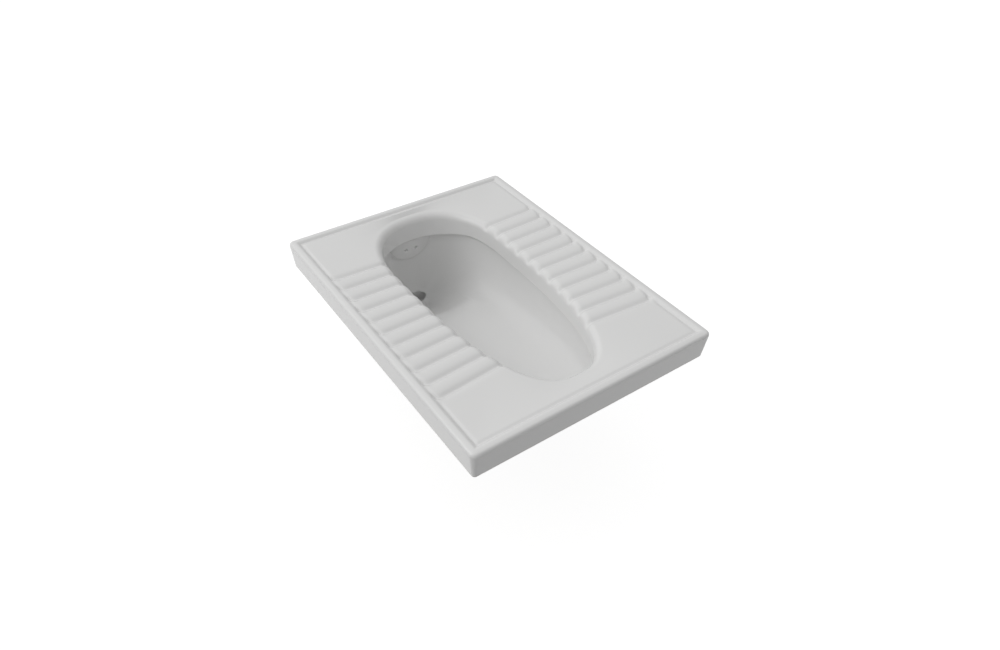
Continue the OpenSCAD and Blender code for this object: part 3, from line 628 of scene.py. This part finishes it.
def pan_rings(settings):
    """The casting's rings in order: up the spigot and the bowl's outside, under the deck, round the
    skirt and bead, over the deck and the collar, down the bowl and the outlet. The last ring joins
    the first. Returns the grid and how bare of glaze each ring is."""
    rings, bare = [], []

    def add(points, share):
        """Adds a ring of points that is bare of glaze by share."""
        rings.append(points)
        bare.append(share)

    inside, outside = bowl_grids()
    spokes = rim_directions()

    def round_outlet(radius, z):
        """A circle about the outlet's axis."""
        return at(spokes * radius + np.array([0, OUTLET_Y]), z)

    # The spigot and the bowl's outside
    add(round_outlet(SPIGOT_RADIUS - SPIGOT_EDGE, SPIGOT_FOOT), 1)
    for turn in np.radians([30, 60, 90]):
        add(round_outlet(SPIGOT_RADIUS - SPIGOT_EDGE + SPIGOT_EDGE * np.sin(turn),
                         SPIGOT_FOOT + SPIGOT_EDGE - SPIGOT_EDGE * np.cos(turn)), 1)
    lowest = outside[-1]
    for share in (0.15, 0.4, 0.65, 0.85):
        add(at(lowest[:, :2], SPIGOT_FOOT + SPIGOT_EDGE
               + (lowest[:, 2] - SPIGOT_FOOT - SPIGOT_EDGE) * share), 1)
    for k in np.linspace(len(outside) - 1, 0, OUTSIDE_RINGS).round().astype(int):
        add(outside[k], 1)
    for share, height in ((0.4, 2), (0.75, 12), (0.95, 22)):
        plan = outside[0][:, :2] * (1 - share) + opening_ring(BOWL_UNDERCUT + WALL + 2) * share
        add(at(plan, height), 1)

    # The deck's underside and the skirt
    add(at(opening_ring(BOWL_UNDERCUT + WALL + 4), UNDERSIDE - 0.9), 1)
    under, wall_ring = opening_ring(BOWL_UNDERCUT + WALL + 7), slab_ring(WALL + 5)
    add(at(under, UNDERSIDE), 1)
    for share in (0.33, 0.66, 1):
        add(at(under * (1 - share) + wall_ring * share, UNDERSIDE + UNDERSIDE_RISE * share), 1)
    add(at(slab_ring(WALL + 2.4), 28), 1)
    for share in (0.1, 0.5, 0.95):
        add(at(slab_ring(WALL + 2.2 + 2.3 * share), 26 * (1 - share)), 1)
    add(at(slab_ring(SKIRT_DRAFT + WALL - 0.4), 0.3), 1)
    add(at(slab_ring(SKIRT_DRAFT + WALL - 1), 0), 1)
    add(at(slab_ring(SKIRT_DRAFT + 1.4), 0), 1)
    add(at(slab_ring(SKIRT_DRAFT + 0.4), 0.4), 1)
    edge_start = SLAB_TOP - EDGE_RADIUS
    for share in (0.03, 0.06, 0.12, 0.3, 0.5, 0.7, 0.9, 0.97):
        add(at(slab_ring(SKIRT_DRAFT * (1 - share)), edge_start * share), float(share < 0.05))
    for turn in np.radians(np.linspace(0, 90, 9)):
        add(at(slab_ring(EDGE_RADIUS * (1 - np.cos(turn))),
               edge_start + (EDGE_RADIUS - 0.25) * np.sin(turn)), 0)

    # The bead, the gutter and the deck with its treads
    depth = gutter_depth()
    for inset in (7.5, 9, 10.5, 11.7, 12.8, 13.8, 14.8, 15.8, 16.8, 17.8, 18.8, 19.8, 20.8, 21.5):
        plan = slab_ring(inset)
        add(at(plan, bead_z(inset, depth) + tread_height(plan[:, 0], settings)), 0)
    outer, inner = slab_ring(DECK_EDGE), opening_ring(SHOULDER_RADIUS)
    gutter_end = 1 - eased(DECK_EDGE, GUTTER_MIDDLE, DECK_EDGE + 1)
    for share in np.concatenate([[0, 0.02, 0.05, 0.1], np.linspace(0.17, 1, 11)[:-1]]):
        plan = outer * (1 - share) + inner * share
        add(at(plan, deck_z(plan[:, 0], plan[:, 1]) + tread_height(plan[:, 0], settings)
               - depth * GUTTER_DEPTH * (1 - eased(share, 0, 0.03)) * gutter_end), 0)

    # The collar's shoulder and the lip
    lip = opening_ring(0)
    inward = lip - inner
    inward /= np.linalg.norm(inward, axis=1, keepdims=True)
    for degrees in np.linspace(0, 90, 13):
        turn = np.radians(degrees)
        plan = inner + (lip - inner) * np.sin(turn)
        height = tread_height(plan[:, 0], settings) * (1 - eased(degrees, 40, 85))
        sideways = inward * (height * np.sin(turn))[:, None]
        add(at(plan + sideways,
               COLLAR_TOP + SHOULDER_RADIUS * np.cos(turn) + height * np.cos(turn)), 0)
    lip_z = LIP_HEIGHT - LIP_REAR_FALL * eased(lip[:, 1], LIP_FALL_START_Y, LIP_FALL_END_Y)
    for share in (0.25, 0.5, 0.75, 0.95):
        add(at(lip, COLLAR_TOP + (lip_z + LIP_EDGE_RADIUS - COLLAR_TOP) * share), 0)
    for turn in np.radians([0, 25, 50, 75]):
        add(at(opening_ring(LIP_EDGE_RADIUS * (1 - np.cos(turn))),
               lip_z + LIP_EDGE_RADIUS * (1 - np.sin(turn))), 0)

    # Under the lip, down the bowl, and through the throat and the outlet
    start, undercut = opening_ring(LIP_EDGE_RADIUS), bowl_ring()
    for share in (0.05, 0.3, 0.6, 0.85):
        drop = lip_z + (BOWL_TOP - lip_z) * share ** 1.5
        plan = start * (1 - share) + undercut * share
        points = at(plan, drop)
        face = pad_share(points[:, 0], points[:, 2]) * (points[:, 1] > PAD_FACE_Y)
        points[:, 1] += (PAD_FACE_Y - points[:, 1]) * face
        add(points, 0)
    for ring in inside:
        add(ring, 0)
    for ring in throat_rings():
        add(ring, 0.1)
    for inset, drop in ((OUTLET_EDGE, 0), (0, OUTLET_EDGE)):
        add(round_outlet(OUTLET_RADIUS - inset, OUTLET_TOP - drop), 0.2)
    add(round_outlet(OUTLET_RADIUS, SPIGOT_FOOT + 1), 1)
    add(round_outlet(OUTLET_RADIUS + 1, SPIGOT_FOOT), 1)
    return np.stack(rings), np.array(bare)


# ---------------------------------------------------------------- materials

class Wire:
    """A socket in a node tree. Arithmetic on wires adds Math nodes."""

    def __init__(self, tree, socket):
        self.tree = tree
        self.socket = socket

    def math(self, operation, *others, first=None):
        """A Math node whose first input is this wire, or first where that is given."""
        inputs = [self if first is None else first, *others]
        return add_node(self.tree, "ShaderNodeMath", {"operation": operation},
                        dict(enumerate(inputs)))

    def __add__(self, other): return self.math("ADD", other)
    def __radd__(self, other): return self.math("ADD", other)
    def __sub__(self, other): return self.math("SUBTRACT", other)
    def __rsub__(self, other): return self.math("SUBTRACT", self, first=other)
    def __mul__(self, other): return self.math("MULTIPLY", other)
    def __rmul__(self, other): return self.math("MULTIPLY", other)

    def clamped(self):
        """This wire's value held between 0 and 1."""
        return add_node(self.tree, "ShaderNodeClamp", {}, {0: self})


def add_node(tree, kind, settings, sockets, output=0):
    """Adds a node: its settings first, then the values or links of its sockets. Returns a wire of
    one output."""
    node = tree.nodes.new(kind)
    for name, value in settings.items():
        if name == "stops":
            ramp = node.color_ramp
            while len(ramp.elements) < len(value):
                ramp.elements.new(1.0)
            for element, (place, colour) in zip(ramp.elements, value):
                element.position = place
                element.color = colour
        else:
            setattr(node, name, value)
    for name, value in sockets.items():
        if isinstance(value, Wire):
            tree.links.new(value.socket, node.inputs[name])
        else:
            node.inputs[name].default_value = value
    return Wire(tree, node.outputs[output])


class Finish:
    """A new material with a Principled shader, and the patterns that the finishes share."""

    def __init__(self, name):
        self.material = bpy.data.materials.new(name)
        self.material.use_nodes = True
        self.tree = self.material.node_tree
        self.shader = next(n for n in self.tree.nodes if n.type == "BSDF_PRINCIPLED")
        self.place = add_node(self.tree, "ShaderNodeTexCoord", {}, {}, "Object")

    def node(self, kind, settings, sockets, output=0):
        return add_node(self.tree, kind, settings, sockets, output)

    def noise(self, scale, detail=3.0, roughness=0.5, place=None):
        return self.node("ShaderNodeTexNoise", {}, {"Vector": place or self.place, "Scale": scale,
                                                    "Detail": detail, "Roughness": roughness}, 0)

    def stretched(self, scale):
        """Object coordinates scaled differently along each axis."""
        return self.node("ShaderNodeMapping", {}, {"Vector": self.place, "Scale": scale})

    def blend(self, factor, first, second):
        """Mixes two colours, each a wire or a plain colour."""
        plain = {name: (value if isinstance(value, Wire) else (*value, 1.0))
                 for name, value in (("A", first), ("B", second))}
        node = self.tree.nodes.new("ShaderNodeMix")
        node.data_type = "RGBA"
        colours = {"A": node.inputs[6], "B": node.inputs[7]}
        self.tree.links.new(factor.socket, node.inputs[0])
        for name, value in plain.items():
            if isinstance(value, Wire):
                self.tree.links.new(value.socket, colours[name])
            else:
                colours[name].default_value = value
        return Wire(self.tree, node.outputs[2])

    def bump(self, height, distance, strength=1.0, normal=None):
        sockets = {"Height": height, "Distance": distance, "Strength": strength}
        if normal is not None:
            sockets["Normal"] = normal
        return self.node("ShaderNodeBump", {}, sockets)

    def done(self, **sockets):
        """Sets the shader's sockets, by name with spaces written as underscores."""
        for name, value in sockets.items():
            socket = self.shader.inputs[name.replace("_", " ")]
            if isinstance(value, Wire):
                self.tree.links.new(value.socket, socket)
            else:
                socket.default_value = value
        return self.material


def scaled(colour, factor):
    """A colour times a factor, held at 1."""
    return tuple(min(1.0, c * factor) for c in colour)


def glaze_material(settings):
    """White vitreous glaze: faint clouding, a slow ripple of its thickness, pin-prick specks, and bare
    bisque with a sandy grain where the casting has no glaze."""
    f = Finish("glaze")
    colour = tuple(settings.glaze_colour)
    bare = f.node("ShaderNodeAttribute", {"attribute_name": "bare"}, {}, "Fac")
    ragged = (bare + (f.noise(90, 4) - 0.5) * 0.35 - 0.5) * 6 + 0.5
    mask = ragged.clamped()
    clouds = f.noise(5.5, 2, 0.4)
    specks = f.node("ShaderNodeTexVoronoi", {}, {"Vector": f.place, "Scale": 260.0})
    speck = ((0.055 - specks) * 40).clamped() * (f.noise(31, 1) * 4 - 2.35).clamped()
    glazed = f.blend(clouds, scaled(colour, 0.985), scaled(colour, 1.012))
    glazed = f.blend(speck * 0.35, glazed, (0.45, 0.42, 0.38))
    grain = f.noise(520, 3, 0.7)
    sandy = f.blend(grain, scaled(settings.bisque_colour, 0.86), scaled(settings.bisque_colour, 1.1))
    ripple = f.noise(26, 2, 0.45)
    fine = f.noise(240, 2, 0.5)
    surface = f.bump(ripple + fine * 0.08, 0.0005, 0.5)
    surface = f.bump(grain * mask, 0.0006, 0.6, surface)
    return f.done(Base_Color=f.blend(mask, glazed, sandy),
                  Roughness=0.22 + 0.06 * clouds + 0.5 * mask,
                  Coat_Weight=0.2 - 0.2 * mask, Coat_Roughness=0.08,
                  Normal=surface)


def cap_glaze_material(settings):
    """The jet cap's glaze: the pan's, a touch greyer and smoother."""
    f = Finish("cap_glaze")
    colour = tuple(settings.glaze_colour)
    clouds = f.noise(14, 2, 0.4)
    ripple = f.noise(60, 2, 0.45)
    return f.done(Base_Color=f.blend(clouds, scaled(colour, 0.95), scaled(colour, 0.985)),
                  Roughness=0.2 + 0.06 * clouds, Coat_Weight=0.3, Coat_Roughness=0.08,
                  Normal=f.bump(ripple, 0.0003, 0.4))


def rubber_material(settings):
    """Moulded black rubber: fine pores, a dusty bloom in patches and low gloss."""
    f = Finish("rubber")
    colour = tuple(settings.rubber_colour)
    pores = f.noise(900, 2, 0.6)
    bloom = f.noise(38, 4, 0.6)
    dusty = ((bloom - 0.52) * 5).clamped() * 0.55
    return f.done(Base_Color=f.blend(dusty, colour, (0.075, 0.073, 0.07)),
                  Roughness=0.52 + 0.2 * bloom, Normal=f.bump(pores + bloom * 0.4, 0.00025, 0.55))


def steel_material(name, settings, brushed):
    """Stainless steel: grain drawn along the band or fine turning marks, and faint smears."""
    f = Finish(name)
    colour = tuple(settings.steel_colour)
    grain = f.noise(1.0, 4, 0.7, f.stretched(brushed))
    smears = f.noise(70, 3, 0.5)
    return f.done(Base_Color=f.blend(smears, scaled(colour, 0.82), scaled(colour, 1.05)),
                  Metallic=1.0, Roughness=0.2 + 0.2 * grain + 0.08 * smears,
                  Normal=f.bump(grain, 0.0002, 0.35))


def plastic_material(name, colour, gloss, flow):
    """Moulded plastic: flow marks in long streaks, a fine texture, and dulled, lighter scuffs."""
    f = Finish(name)
    streaks = f.noise(1.0, 3, 0.5, f.stretched(flow))
    texture = f.noise(650, 2, 0.5)
    scuffs = ((f.noise(24, 5, 0.65) - 0.56) * 9).clamped()
    tone = f.blend(streaks, scaled(colour, 0.9), scaled(colour, 1.1))
    tone = f.blend(scuffs * 0.22, tone, scaled(colour, 1.7))
    return f.done(Base_Color=tone, Roughness=gloss + 0.14 * scuffs + 0.06 * streaks,
                  Normal=f.bump(texture + 0.6 * streaks, 0.0002, 0.5))


# ---------------------------------------------------------------- operators

class SQUAT_OT_pan(bpy.types.Operator):
    """Builds the casting: slab, treads, collar, bowl and outlet as one closed surface."""

    bl_idname = "squat.pan"
    bl_label = "Pan"

    def execute(self, context):
        settings = context.scene.squat_pan
        grid, bare = pan_rings(settings)
        values = np.repeat(bare, grid.shape[1])
        pan = put_grid("pan_casting", grid, "pan_body", True, values)
        pan.data.materials.append(glaze_material(settings))
        horn = put_grid("inlet_horn", horn_surface(), "pan_body", True)
        horn.data.materials.append(pan.data.materials[0])
        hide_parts("pan")
        return {"FINISHED"}


def horn_surface():
    """The inlet horn, turned about the inlet's axis: a tube that flares into the bowl's rear wall."""
    wall_y = PAD_FACE_Y + WALL + 1
    flare = [(HORN_RADIUS + 9 * (1 - math.sin(t)), wall_y + 3 + 12 * (1 - math.cos(t)))
             for t in np.radians(np.linspace(0, 90, 9))]
    tip = [(HORN_RADIUS - 2 + 2 * math.cos(t), HORN_END - 2 + 2 * math.sin(t))
           for t in np.radians([0, 30, 60, 90])]
    mouth = [(INLET_BORE + 1.2 - 1.2 * math.sin(t), HORN_END - 1.2 + 1.2 * math.cos(t))
             for t in np.radians([0, 30, 60, 90])]
    shaft = [(HORN_RADIUS, y) for y in (290, 300, 311)]
    bore = [(INLET_BORE, y) for y in (305, 285, wall_y + 2, wall_y)]
    base = [(INLET_BORE + 6, wall_y - 1), (HORN_RADIUS + 7, wall_y - 1)]
    return turned(flare + shaft + tip + mouth + bore + base, TURN_STEPS, (0, 0, INLET_Z), INLET_AXIS)


class SQUAT_OT_jet_cap(bpy.types.Operator):
    """Builds the jet cap: a soft lens cut flat on top, with two countersunk jets, and its tail."""

    bl_idname = "squat.jet_cap"
    bl_label = "Jet cap"

    def execute(self, context):
        material = cap_glaze_material(context.scene.squat_pan)
        cap = put_grid("jet_cap", cap_surface(), "pan_body", False)
        tail = put_grid("jet_cap_tail", tail_surface(), "pan_body", True)
        for piece in (cap, tail):
            piece.data.materials.append(material)
        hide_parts("flush_spreader")
        return {"FINISHED"}


def cap_surface():
    """The cap's section at each x, from its flat top down its face, round its rim and up its back.

    The face stands rim + (bulge - rim) * (1 - (r / R)^2)^0.8 in front of the back, where r is the
    distance from the middle. Each jet is a hole of its own radius with a soft countersink.
    """
    columns = CAP_HALF_WIDTH * np.sin(np.linspace(-np.pi / 2, np.pi / 2, 190)) * 0.999
    down = np.linspace(0, 1, 110)
    x = columns[:, None]
    drop = CAP_TOP - CAP_Z + np.sqrt(CAP_RADIUS ** 2 - x ** 2)
    z = CAP_TOP - drop * down[None, :]
    share = np.clip(np.hypot(x, z - CAP_Z) / CAP_RADIUS, 0, 1)
    height = CAP_RIM + (CAP_BULGE - CAP_RIM) * (1 - share ** 2) ** 0.8
    height -= 0.8 * (1 - eased(z, CAP_TOP, CAP_TOP - 1.2)) ** 2
    jet = np.hypot(np.abs(x) - JET_X, z - JET_Z)
    sink = COUNTERSINK_DEPTH * (1 - eased(jet, JET_RADIUS, JET_RADIUS + COUNTERSINK_WIDTH)) ** 1.5
    hole = np.where(jet < JET_RADIUS, height - sink - 0.6, 0)
    face_y = CAP_BACK_Y - np.maximum(height - sink - hole, 0.3)
    front = np.stack(np.broadcast_arrays(x, face_y, z), -1)
    back = front[:, ::-1].copy()
    back[..., 1] = CAP_BACK_Y
    return np.concatenate([front, back], axis=1)


def tail_surface():
    """The cap's tail, turned about the inlet's axis, with a groove for its rubber ring."""
    start, end = PAD_FACE_Y - 0.2, PAD_FACE_Y + TAIL_LENGTH
    profile = [(TAIL_BORE, start), (TAIL_RADIUS, start),
               (TAIL_RADIUS, PAD_FACE_Y + 8.7), (TAIL_GROOVE_RADIUS, PAD_FACE_Y + 8.75),
               (TAIL_GROOVE_RADIUS, PAD_FACE_Y + 11.25), (TAIL_RADIUS, PAD_FACE_Y + 11.3),
               (TAIL_RADIUS, end - 0.8), (TAIL_RADIUS - 0.8, end),
               (TAIL_BORE + 0.6, end), (TAIL_BORE, end - 0.8)]
    return turned(profile, TURN_STEPS, (0, 0, INLET_Z), INLET_AXIS)


class SQUAT_OT_fittings(bpy.types.Operator):
    """Gives the connector, the clamps, the seals and the trap their finishes."""

    bl_idname = "squat.fittings"
    bl_label = "Fittings"

    def execute(self, context):
        colours = context.scene.squat_fittings
        trap, nut, cap = (tuple(c) for c in (colours.trap_colour, colours.nut_colour, colours.cap_colour))
        finishes = {
            "rubber": rubber_material(colours),
            "band_steel": steel_material("band_steel", colours, (90.0, 2500.0, 90.0)),
            "screw_steel": steel_material("screw_steel", colours, (300.0, 300.0, 1400.0)),
            "trap_plastic": plastic_material("trap_plastic", trap, 0.36, (40.0, 40.0, 9.0)),
            "nut_plastic": plastic_material("nut_plastic", nut, 0.42, (60.0, 60.0, 12.0)),
            "cap_plastic": plastic_material("cap_plastic", cap, 0.34, (12.0, 60.0, 60.0)),
        }
        for part in frame["record"]["subparts"]:
            slot = part.get("material_slot")
            if slot in finishes:
                obj = frame["nodes"][part["node"]]
                obj.data.materials.clear()
                obj.data.materials.append(finishes[slot])
        return {"FINISHED"}


# The studio's places and sizes are in metres
KEY_PLACE = (-1.6, 0.35, 1.2)
KEY_SIZE = 1.2
BRIGHTEST_PLACE = (-0.33, 0.48, 0.81)
DIMMEST_SHARE = 0.42
FLOOR_LIFT = 0.86


class SQUAT_OT_studio(bpy.types.Operator):
    """Sets the floor, the lamps, the world and the camera."""

    bl_idname = "squat.studio"
    bl_label = "Studio"

    def execute(self, context):
        settings = context.scene.squat_studio
        put_floor(settings)
        put_world(settings)
        put_lamp("key", KEY_PLACE, (0, 0, 0), KEY_SIZE, settings.key_power)
        put_camera()
        context.scene.view_settings.view_transform = "Standard"
        return {"FINISHED"}


def seen_only(tree, strength):
    """A wire that is strength for rays from the camera and in mirrors or glass, and 0 for all others."""
    path = tree.nodes.new("ShaderNodeLightPath")
    rays = [Wire(tree, path.outputs[name])
            for name in ("Is Camera Ray", "Is Glossy Ray", "Is Transmission Ray")]
    return (rays[0] + rays[1] + rays[2]).clamped() * strength


def put_floor(settings):
    """A large level plane at the object's lowest point, pale, lifted to white where no shadow falls."""
    half = settings.floor_size / 2
    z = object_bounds()[0][2]
    corners = [(-half, -half, z), (half, -half, z), (half, half, z), (-half, half, z)]
    mesh = bpy.data.meshes.new("floor")
    mesh.from_pydata(corners, [], [(0, 1, 2, 3)])
    floor = bpy.data.objects.new("floor", mesh)
    bpy.context.scene.collection.objects.link(floor)
    f = Finish("floor")
    marks = f.noise(3, 2, 0.5)
    f.done(Base_Color=f.blend(marks, (0.24, 0.24, 0.24), (0.26, 0.26, 0.26)), Roughness=0.9)
    light = add_node(f.tree, "ShaderNodeEmission", {}, {"Strength": seen_only(f.tree, FLOOR_LIFT)})
    both = add_node(f.tree, "ShaderNodeAddShader", {}, {0: Wire(f.tree, f.shader.outputs[0]), 1: light})
    output = next(n for n in f.tree.nodes if n.type == "OUTPUT_MATERIAL")
    f.tree.links.new(both.socket, output.inputs["Surface"])
    floor.data.materials.append(f.material)
    floor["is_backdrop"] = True


def put_world(settings):
    """A pale dome of light that is white to the camera.

    Its strength is the setting times (the dimmest share + the cosine of the angle from its
    brightest place, which is high above, towards the rear left). The cosine counts only
    where it is over 0.
    """
    world = bpy.data.worlds.new("studio")
    bpy.context.scene.world = world
    world.use_nodes = True
    tree = world.node_tree
    background = next(n for n in tree.nodes if n.type == "BACKGROUND")
    background.inputs["Color"].default_value = (1.0, 1.0, 1.0, 1.0)
    direction = add_node(tree, "ShaderNodeTexCoord", {}, {}, "Generated")
    cosine = add_node(tree, "ShaderNodeVectorMath", {"operation": "DOT_PRODUCT"},
                      {0: direction, 1: BRIGHTEST_PLACE}, "Value").clamped()
    path = tree.nodes.new("ShaderNodeLightPath")
    seen = Wire(tree, path.outputs["Is Camera Ray"])
    dome = (cosine + DIMMEST_SHARE) * settings.world_strength
    strength = dome * (1 - seen) + seen
    tree.links.new(strength.socket, background.inputs["Strength"])


def facing(place, target):
    """The turn that points an object's -Z from place to target."""
    back = np.subtract(place, target)
    back = back / np.linalg.norm(back)
    right = np.cross((0, 0, 1), back)
    right /= np.linalg.norm(right)
    return np.stack([right, np.cross(back, right), back], 1)


def put_lamp(name, place, target, size, power):
    """A square area lamp at place that faces target."""
    lamp = bpy.data.lights.new(name, "AREA")
    lamp.shape = "SQUARE"
    lamp.size = size
    lamp.energy = power
    obj = bpy.data.objects.new(name, lamp)
    obj.matrix_world = Matrix.LocRotScale(place, Matrix(facing(place, target).tolist()), None)
    bpy.context.scene.collection.objects.link(obj)


# The photograph's camera: target and distance in millimetres, and the lens on a sensor 36 mm wide
CAMERA_AZIMUTH = math.radians(-36.92)
CAMERA_ELEVATION = math.radians(40.53)
CAMERA_ROLL = math.radians(2.39)
CAMERA_TARGET = np.array([-42.4, -95.9, 50.0])
CAMERA_DISTANCE = 1163.4
CAMERA_LENS = 27.21


def put_camera():
    """The photograph's camera: target + distance * back, with right and up turned by the roll."""
    back = np.array([math.sin(CAMERA_AZIMUTH) * math.cos(CAMERA_ELEVATION),
                     -math.cos(CAMERA_AZIMUTH) * math.cos(CAMERA_ELEVATION), math.sin(CAMERA_ELEVATION)])
    right = np.array([math.cos(CAMERA_AZIMUTH), math.sin(CAMERA_AZIMUTH), 0])
    up = np.cross(back, right)
    turned_right = math.cos(CAMERA_ROLL) * right + math.sin(CAMERA_ROLL) * up
    turned_up = math.cos(CAMERA_ROLL) * up - math.sin(CAMERA_ROLL) * right
    place = (CAMERA_TARGET + CAMERA_DISTANCE * back) * MM
    camera = bpy.data.cameras.new("camera")
    camera.lens = CAMERA_LENS
    camera.sensor_width = 36.0
    camera.clip_end = 100.0
    obj = bpy.data.objects.new("camera", camera)
    turn = np.stack([turned_right, turned_up, back], 1)
    obj.matrix_world = Matrix.LocRotScale(place.tolist(), Matrix(turn.tolist()), None)
    bpy.context.scene.collection.objects.link(obj)
    bpy.context.scene.camera = obj


class SQUAT_PT_panel(bpy.types.Panel):
    """Lists the pieces and their settings."""

    bl_idname = "SQUAT_PT_panel"
    bl_label = "Squat toilet"
    bl_space_type = "VIEW_3D"
    bl_region_type = "UI"
    bl_category = "Squat toilet"

    def draw(self, context):
        for operator in OPERATORS:
            self.layout.operator(operator.bl_idname)
        for group in GROUPS:
            settings = getattr(context.scene, group)
            for name in settings.__annotations__:
                self.layout.prop(settings, name)


OPERATORS = (SQUAT_OT_pan, SQUAT_OT_jet_cap, SQUAT_OT_fittings, SQUAT_OT_studio)
GROUPS = {"squat_pan": PanSettings, "squat_fittings": FittingSettings, "squat_studio": StudioSettings}


def register():
    for group, kind in GROUPS.items():
        bpy.utils.register_class(kind)
        setattr(bpy.types.Scene, group, PointerProperty(type=kind))
    for kind in (*OPERATORS, SQUAT_PT_panel):
        bpy.utils.register_class(kind)


def unregister():
    for kind in (SQUAT_PT_panel, *reversed(OPERATORS)):
        bpy.utils.unregister_class(kind)
    for group, kind in reversed(GROUPS.items()):
        delattr(bpy.types.Scene, group)
        bpy.utils.unregister_class(kind)


def main():
    """Registers the add-on and runs its operators in order."""
    register()
    bpy.ops.squat.pan()
    bpy.ops.squat.jet_cap()
    bpy.ops.squat.fittings()
    bpy.ops.squat.studio()


if __name__ == "__main__":
    main()
